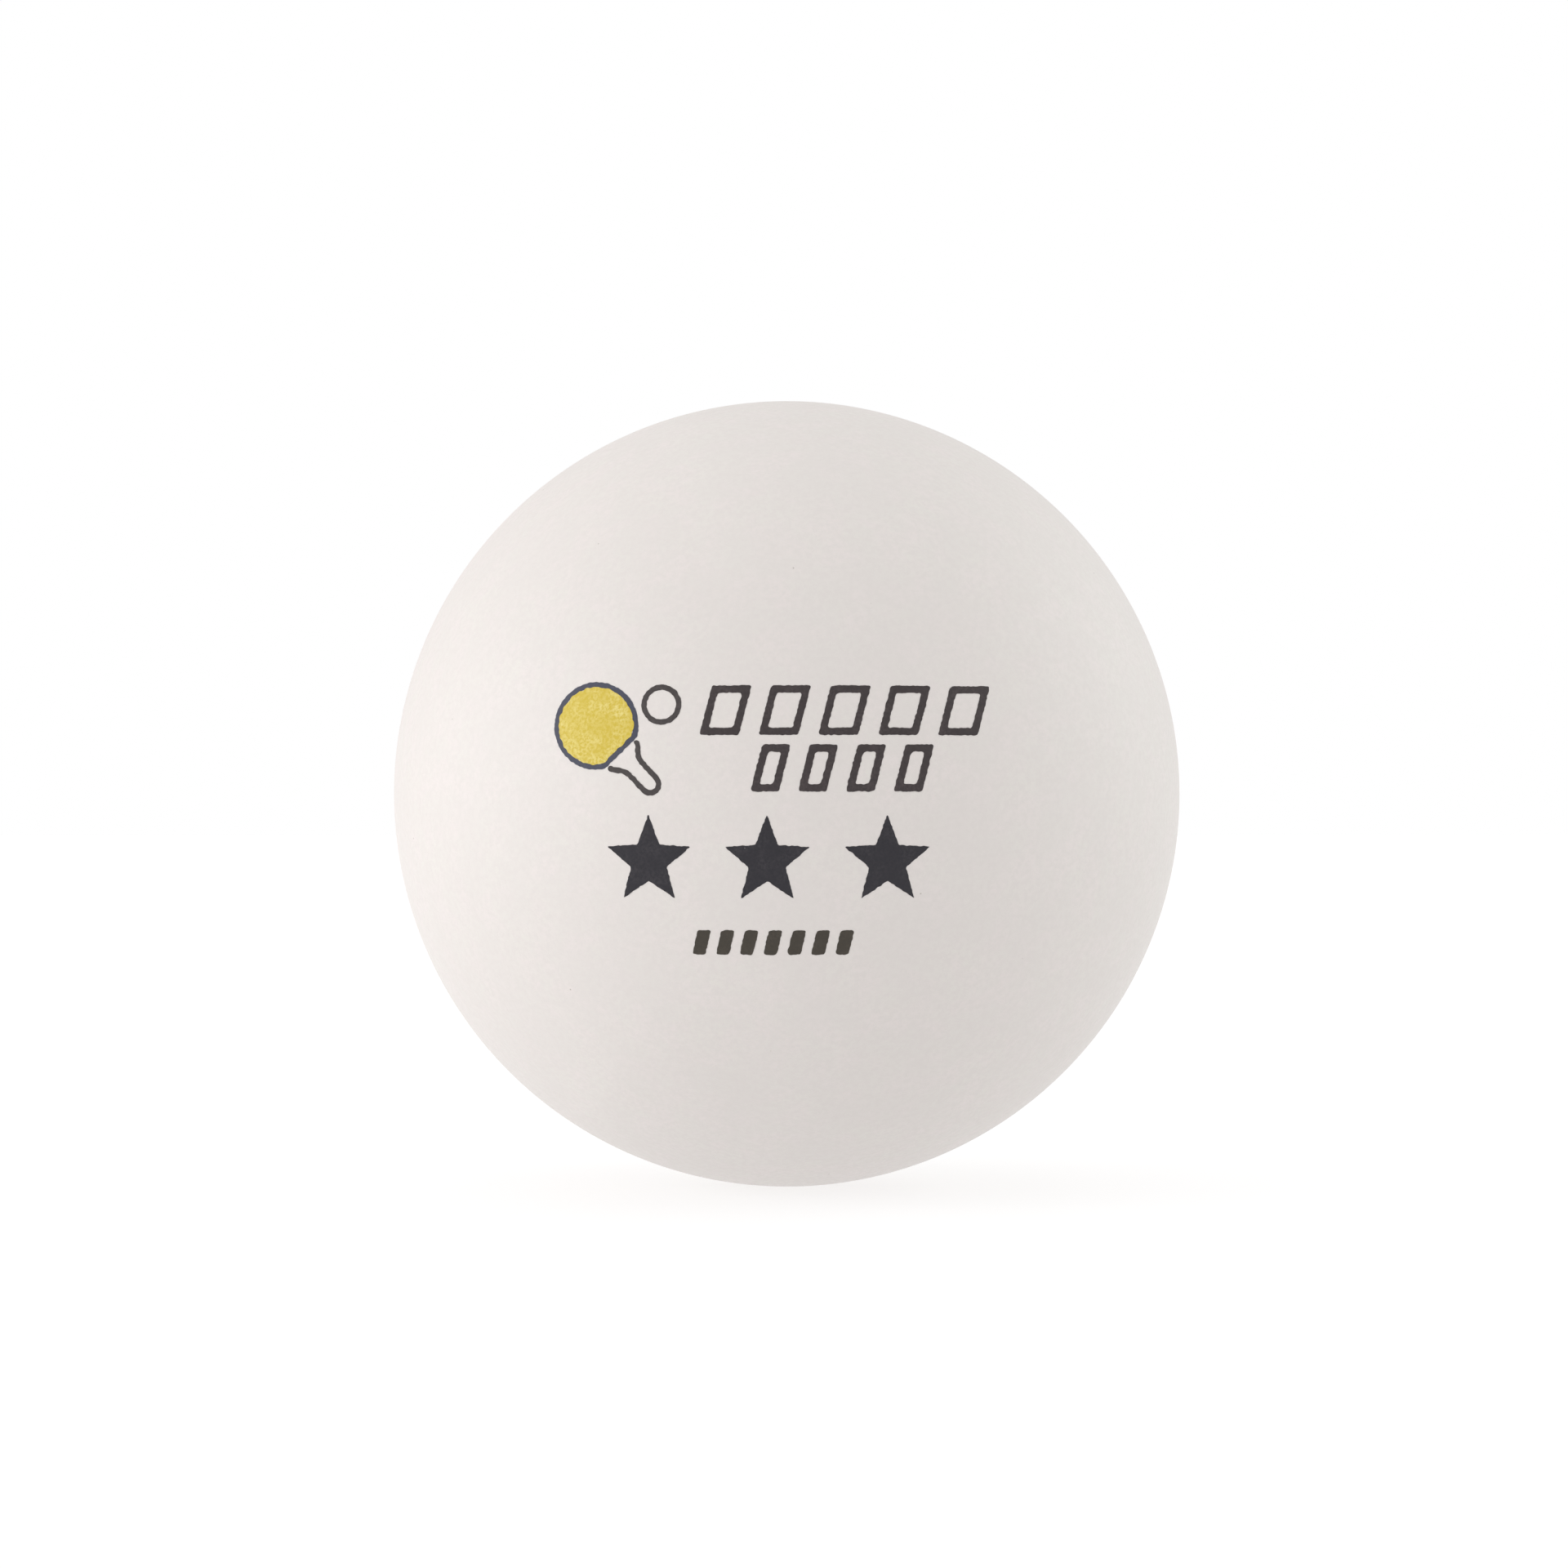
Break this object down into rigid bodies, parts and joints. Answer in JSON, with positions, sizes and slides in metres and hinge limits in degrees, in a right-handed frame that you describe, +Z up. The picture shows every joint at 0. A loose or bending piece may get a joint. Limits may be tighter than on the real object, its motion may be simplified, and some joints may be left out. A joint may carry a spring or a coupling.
{
  "type": "table tennis ball",
  "caption": "Hollow white matte plastic table tennis ball with a bonded seam around its middle and quality stars printed on the front.",
  "frame": {"origin": "centre of the ball", "axes": "+Y along the axis of the seam, away from the print; the seam lies in the plane y = 0; +Z up, the way the print reads"},
  "size_m": [0.04, 0.04, 0.04],
  "materials": {
    "shell_plastic": "tumbled matte",
    "bond_adhesive": "cured, slightly amber",
    "ink_dark": "pad-printed",
    "ink_olive": "pad-printed",
    "ink_navy": "pad-printed",
    "ink_yellow": "pad-printed"
  },
  "bodies": {
    "root": {"front_half_shell": "shell_plastic", "rear_half_shell": "shell_plastic", "seam_bond": "bond_adhesive", "print_star_1": "ink_dark", "print_star_2": "ink_dark", "print_star_3": "ink_dark", "print_top_block_1": "ink_dark", "print_top_block_2": "ink_dark", "print_top_block_3": "ink_dark", "print_top_block_4": "ink_dark", "print_top_block_5": "ink_dark", "print_middle_block_1": "ink_dark", "print_middle_block_2": "ink_dark", "print_middle_block_3": "ink_dark", "print_middle_block_4": "ink_dark", "print_bottom_block_1": "ink_olive", "print_bottom_block_2": "ink_olive", "print_bottom_block_3": "ink_olive", "print_bottom_block_4": "ink_olive", "print_bottom_block_5": "ink_olive", "print_bottom_block_6": "ink_olive", "print_bottom_block_7": "ink_olive", "print_bat_rubber": "ink_yellow", "print_bat_blade": "ink_navy", "print_bat_handle": "ink_dark", "print_emblem_ball": "ink_dark"}
  },
  "joints": []
}
